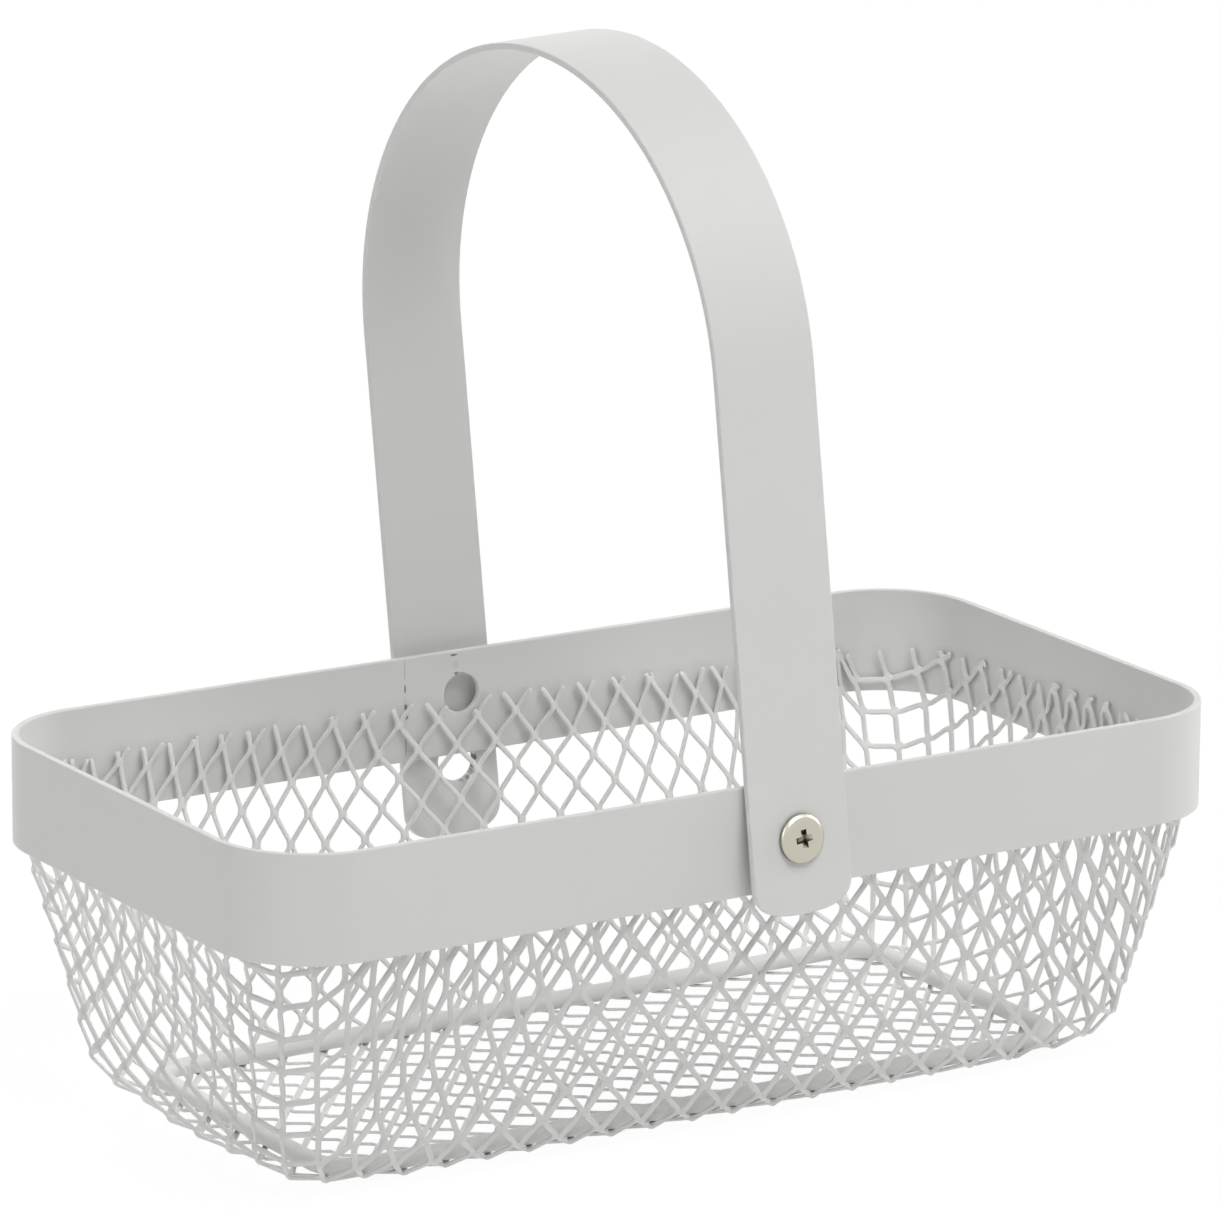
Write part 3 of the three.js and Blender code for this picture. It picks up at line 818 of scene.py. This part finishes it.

# Small marks where the coat is thin, stained or missing, and a dark crescent round the strap's rear hole,
# placed to match the photograph.
# Each has a middle and half sizes in millimetres, and a strength from 0 to 1.
BAND_INSIDE = RIM_WIDTH / 2 - BAND_THICKNESS
SEAM_MARKS = [
    ((-19.0, BAND_INSIDE, 97.5), (0.3, 0.8, 2.6), 0.22),
    ((-18.9, BAND_INSIDE, 92.1), (0.35, 0.8, 1.3), 0.8),
    ((-18.9, BAND_INSIDE, 88.6), (0.28, 0.8, 1.8), 0.12),
    ((-18.7, BAND_INSIDE, 86.8), (0.5, 0.8, 1.0), 0.75),
    ((-18.4, BAND_INSIDE, 84.4), (0.5, 0.8, 1.1), 0.85),
    ((-18.6, BAND_INSIDE, 76.5), (0.3, 0.8, 3.6), 0.45),
]
REAR_HOLE_MARKS = [
    ((-3.2, BAND_INSIDE, 99.9), (1.3, 0.8, 0.32), 0.8),
    ((-2.6, BAND_INSIDE, 96.9), (1.4, 0.8, 1.2), 0.1),
    ((-2.3, BAND_INSIDE, 94.5), (0.75, 0.8, 0.5), 0.7),
    ((-0.9, BAND_INSIDE, 94.4), (1.2, 0.8, 0.25), 0.45),
]
# A dark crescent on and round the wall at the lower right of the strap's rear hole
STRAP_HOLE_MARKS = [
    ((5.2, 81.4, 68.6), (0.9, 2.5, 1.0), 0.8),
    ((4.8, 81.4, 66.5), (1.0, 2.5, 1.1), 0.7),
    ((3.9, 81.4, 64.7), (1.1, 2.5, 1.1), 0.5),
    ((2.3, 81.4, 63.3), (1.1, 2.5, 0.9), 0.65),
    ((0.7, 81.4, 62.6), (1.1, 2.5, 0.7), 0.5),
    ((5.6, 80.4, 64.6), (1.1, 1.0, 1.3), 0.25),
    ((4.0, 80.4, 62.3), (1.3, 1.0, 0.9), 0.3),
]
STRAP_SPECKS = [
    ((-17.1, 84.0, 166.4), (0.5, 3.0, 0.4), 0.35),
    ((-15.5, 84.0, 165.1), (0.4, 3.0, 0.4), 0.3),
    ((-27.4, 84.0, 204.8), (0.6, 3.0, 0.5), 0.4),
]
BAND_SPECKS = [((135.6, BAND_INSIDE, 84.0), (0.5, 0.8, 0.5), 0.5)]


def larger(nodes, links, one, other):
    """The larger of two values, each given as a node's socket."""
    both = nodes.new("ShaderNodeMath")
    both.operation = "MAXIMUM"
    links.new(one, both.inputs[0])
    links.new(other, both.inputs[1])
    return both.outputs[0]


def move_range(nodes, links, value, old, new, way="LINEAR"):
    """A value moved from an old range to a new one, and held at its ends."""
    moved = nodes.new("ShaderNodeMapRange")
    moved.interpolation_type = way
    moved.inputs["From Min"].default_value = old[0]
    moved.inputs["From Max"].default_value = old[1]
    moved.inputs["To Min"].default_value = new[0]
    moved.inputs["To Max"].default_value = new[1]
    links.new(value, moved.inputs["Value"])
    return moved.outputs["Result"]


def spots(nodes, links, place, scale, detail=2):
    """Soft random spots, smaller for a greater scale."""
    noise = nodes.new("ShaderNodeTexNoise")
    noise.inputs["Scale"].default_value = scale
    noise.inputs["Detail"].default_value = detail
    links.new(place, noise.inputs["Vector"])
    return noise.outputs["Fac"]


def openness(nodes, reach):
    """One where nothing is near, and about zero in narrow gaps. It sets where shade is painted into the
    colour.
    """
    narrow = nodes.new("ShaderNodeAmbientOcclusion")
    narrow.samples = 8
    narrow.inputs["Distance"].default_value = reach * MM
    return narrow.outputs["AO"]


def far_from(nodes, links, place, middle, half_size):
    """How far each place is from the middle of a mark, in half sizes of the mark."""
    shift = nodes.new("ShaderNodeVectorMath")
    shift.operation = "SUBTRACT"
    shift.inputs[1].default_value = [c * MM for c in middle]
    links.new(place, shift.inputs[0])
    share = nodes.new("ShaderNodeVectorMath")
    share.operation = "DIVIDE"
    share.inputs[1].default_value = [c * MM for c in half_size]
    links.new(shift.outputs[0], share.inputs[0])
    reach = nodes.new("ShaderNodeVectorMath")
    reach.operation = "LENGTH"
    links.new(share.outputs[0], reach.inputs[0])
    return reach.outputs["Value"]


def marks_mask(nodes, links, place, marks):
    """How much of a dark mark shows at each place. Noise makes the marks' edges ragged."""
    ragged = spots(nodes, links, place, GRAIN_SCALE)
    total = None
    for middle, half_size, strength in marks:
        edge = nodes.new("ShaderNodeMath")
        edge.operation = "MULTIPLY_ADD"
        edge.inputs[1].default_value = MARK_RAGGEDNESS
        links.new(ragged, edge.inputs[0])
        links.new(far_from(nodes, links, place, middle, half_size), edge.inputs[2])
        mark = move_range(nodes, links, edge.outputs[0], MARK_FADE, (strength, 0), "SMOOTHSTEP")
        total = mark if total is None else larger(nodes, links, total, mark)
    return total


def powder_coat(name, marks=()):
    material, nodes, links, surface = new_material(name)
    place = nodes.new("ShaderNodeTexCoord").outputs["Object"]
    tint = nodes.new("ShaderNodeMix")
    tint.data_type = "RGBA"
    tint.blend_type = "MULTIPLY"
    tint.inputs["Factor"].default_value = 1
    tint.inputs["A"].default_value = (*COAT_COLOUR, 1)
    broad = spots(nodes, links, place, TONE_SCALE, TONE_DETAIL)
    links.new(move_range(nodes, links, broad, NOISE_SPREAD, COAT_TONES), tint.inputs["B"])

    # Painted shade: the colour is darker in narrow gaps, such as the ones where strands touch the band
    gap = openness(nodes, COAT_GAP_REACH)
    dark = move_range(nodes, links, gap, COAT_GAP_OPEN, (COAT_PAINTED_SHADE, 0))
    if marks:
        dark = larger(nodes, links, dark, marks_mask(nodes, links, place, marks))
    # The painted shade and the marks mix the coat's colour towards the dark colour
    darkened = nodes.new("ShaderNodeMix")
    darkened.data_type = "RGBA"
    darkened.inputs["B"].default_value = (*MARK_AND_SHADE_COLOUR, 1)
    links.new(dark, darkened.inputs["Factor"])
    links.new(tint.outputs["Result"], darkened.inputs["A"])
    links.new(darkened.outputs["Result"], surface.inputs["Base Color"])

    # The coat is a little uneven, like the peel of an orange
    bump = nodes.new("ShaderNodeBump")
    bump.inputs["Strength"].default_value = PEEL_STRENGTH
    bump.inputs["Distance"].default_value = PEEL_HEIGHT
    links.new(spots(nodes, links, place, PEEL_SCALE), bump.inputs["Height"])
    links.new(bump.outputs["Normal"], surface.inputs["Normal"])
    surface.inputs["Roughness"].default_value = COAT_ROUGHNESS
    surface.inputs["Metallic"].default_value = 0
    return material


def nickel(name):
    material, nodes, links, surface = new_material(name)
    place = nodes.new("ShaderNodeTexCoord").outputs["Object"]
    grain = spots(nodes, links, place, GRAIN_SCALE)
    links.new(move_range(nodes, links, grain, (0, 1), NICKEL_ROUGHNESS), surface.inputs["Roughness"])

    # Painted shade: the colour is darker in the recess and at the foot of the head
    darkened = nodes.new("ShaderNodeValToRGB")
    dark, light = darkened.color_ramp.elements
    dark.position, light.position = NICKEL_GAP_OPEN
    dark.color = (*NICKEL_PAINTED_SHADE, 1)
    light.color = (*NICKEL_COLOUR, 1)
    links.new(openness(nodes, NICKEL_GAP_REACH), darkened.inputs["Fac"])
    links.new(darkened.outputs["Color"], surface.inputs["Base Color"])
    surface.inputs["Metallic"].default_value = 1
    return material


# Stage, lights and camera

def seen_directly(nodes, links):
    """One for what the camera sees, also by way of metal or glass, and zero for light on other things."""
    path = nodes.new("ShaderNodeLightPath")
    seen = path.outputs["Is Camera Ray"]
    for ray in ("Is Glossy Ray", "Is Transmission Ray"):
        seen = larger(nodes, links, seen, path.outputs[ray])
    return seen


# The floor reaches this many metres each way. A glow of 1 is white.
FLOOR_REACH = 30
FLOOR_GREY = 0.7
FLOOR_GLOW = 0.29
FLOOR_SEEN_GLOW = 1.02
FLOOR_SEEN_SHARE = 0.89
WHITE = (1, 1, 1, 1)
SKY_GREYS = (0.6, 1.0)
SKY_TOP = 0.9
SKY_STRENGTH = 0.03


def build_stage():
    """A white floor. What the camera sees of it is mostly an even glow, with a faint shadow."""
    corners = [(x * FLOOR_REACH, y * FLOOR_REACH, 0) for x, y in ((-1, -1), (1, -1), (1, 1), (-1, 1))]
    floor = make_object("floor", corners, [(0, 1, 2, 3)])
    material, nodes, links, surface = new_material("floor_white")
    surface.inputs["Base Color"].default_value = (FLOOR_GREY, FLOOR_GREY, FLOOR_GREY, 1)
    surface.inputs["Emission Color"].default_value = WHITE
    surface.inputs["Emission Strength"].default_value = FLOOR_GLOW
    surface.inputs["Roughness"].default_value = 1
    surface.inputs["Specular IOR Level"].default_value = 0
    share = nodes.new("ShaderNodeMath")
    share.operation = "MULTIPLY"
    share.inputs[1].default_value = FLOOR_SEEN_SHARE
    links.new(seen_directly(nodes, links), share.inputs[0])
    glow = nodes.new("ShaderNodeEmission")
    glow.inputs["Color"].default_value = WHITE
    glow.inputs["Strength"].default_value = FLOOR_SEEN_GLOW
    mix = nodes.new("ShaderNodeMixShader")
    links.new(share.outputs[0], mix.inputs["Fac"])
    links.new(surface.outputs["BSDF"], mix.inputs[1])
    links.new(glow.outputs["Emission"], mix.inputs[2])
    links.new(mix.outputs["Shader"], nodes["Material Output"].inputs["Surface"])
    floor.data.materials.append(material)


def build_world():
    """A dim sky that is lightest overhead. What the camera sees of it is white."""
    world = bpy.data.worlds.new("studio")
    bpy.context.scene.world = world
    world.use_nodes = True
    nodes, links = world.node_tree.nodes, world.node_tree.links
    background = nodes["Background"]
    place = nodes.new("ShaderNodeTexCoord")
    split = nodes.new("ShaderNodeSeparateXYZ")
    links.new(place.outputs["Generated"], split.inputs[0])
    ramp = nodes.new("ShaderNodeValToRGB")
    for stop, level, grey in zip(ramp.color_ramp.elements, (0, SKY_TOP), SKY_GREYS):
        stop.position = level
        stop.color = (grey, grey, grey, 1)
    links.new(split.outputs["Z"], ramp.inputs["Fac"])
    links.new(ramp.outputs["Color"], background.inputs["Color"])
    background.inputs["Strength"].default_value = SKY_STRENGTH
    white = nodes.new("ShaderNodeBackground")
    white.inputs["Color"].default_value = WHITE
    mix = nodes.new("ShaderNodeMixShader")
    links.new(seen_directly(nodes, links), mix.inputs["Fac"])
    links.new(background.outputs[0], mix.inputs[1])
    links.new(white.outputs[0], mix.inputs[2])
    links.new(mix.outputs[0], nodes["World Output"].inputs["Surface"])


# Lamps with their place and size in metres and their power in watts
LAMPS = [
    ("key", (0.2, -1.45, 2.5), 1.6, 45),
    ("left", (-2.6, -0.3, 1.3), 1.6, 17),
    ("right", (2.6, -0.3, 1.3), 1.6, 32),
    ("rear", (0.0, 2.6, 1.5), 1.6, 34),
    ("top", (0.2, 0.2, 3.0), 1.8, 5),
]
LIT_PLACE = (0, 0, 0.08)


def build_lights():
    for name, place, size, power in LAMPS:
        lamp = bpy.data.lights.new(name, "AREA")
        lamp.shape = "SQUARE"
        lamp.size = size
        lamp.energy = power
        made = bpy.data.objects.new(name, lamp)
        bpy.context.scene.collection.objects.link(made)
        made.location = place
        made.rotation_euler = (Vector(LIT_PLACE) - Vector(place)).to_track_quat("-Z", "Y").to_euler()


# The camera was fitted to the photograph: its angles are in radians, its place in metres and its sensor
# in millimetres
CAMERA_YAW = 0.559456
CAMERA_PITCH = 0.256627
CAMERA_ROLL = 0.0073178
CAMERA_PLACE = (-1.17525, -1.87291, 0.70852)
FOCAL_PIXELS = 8462.16
PHOTO_PIXELS = 1220
CENTRE_X_PIXELS = 604.92
CENTRE_Y_PIXELS = 616.05
SENSOR_WIDTH = 36


def build_camera():
    level = math.cos(CAMERA_PITCH)
    forward = Vector((math.sin(CAMERA_YAW) * level, math.cos(CAMERA_YAW) * level, -math.sin(CAMERA_PITCH)))
    right = Vector((math.cos(CAMERA_YAW), -math.sin(CAMERA_YAW), 0))
    up = right.cross(forward)
    cos_roll, sin_roll = math.cos(CAMERA_ROLL), math.sin(CAMERA_ROLL)
    right, up = right * cos_roll + up * sin_roll, up * cos_roll - right * sin_roll
    lens = bpy.data.cameras.new("camera")
    lens.sensor_width = SENSOR_WIDTH
    lens.lens = FOCAL_PIXELS * SENSOR_WIDTH / PHOTO_PIXELS
    lens.shift_x = (PHOTO_PIXELS / 2 - CENTRE_X_PIXELS) / PHOTO_PIXELS
    lens.shift_y = (CENTRE_Y_PIXELS - PHOTO_PIXELS / 2) / PHOTO_PIXELS
    lens.clip_end = 100
    camera = bpy.data.objects.new("camera", lens)
    bpy.context.scene.collection.objects.link(camera)
    turn = Matrix((right, up, -forward)).transposed().to_4x4()
    camera.matrix_world = Matrix.Translation(CAMERA_PLACE) @ turn
    bpy.context.scene.camera = camera


bpy.context.scene.view_settings.view_transform = "Standard"
band_coat = powder_coat("powder_coat_band", SEAM_MARKS + REAR_HOLE_MARKS + BAND_SPECKS)
strap_coat = powder_coat("powder_coat_strap", STRAP_HOLE_MARKS + STRAP_SPECKS)
mesh_coat = powder_coat("powder_coat_mesh")
plate = nickel("nickel_satin")
build_mesh_tray(mesh_coat)
build_rim_band(band_coat)
build_base_ring(mesh_coat)
build_handle(strap_coat)
build_screw(plate)
build_nut(plate)
build_stage()
build_world()
build_lights()
build_camera()
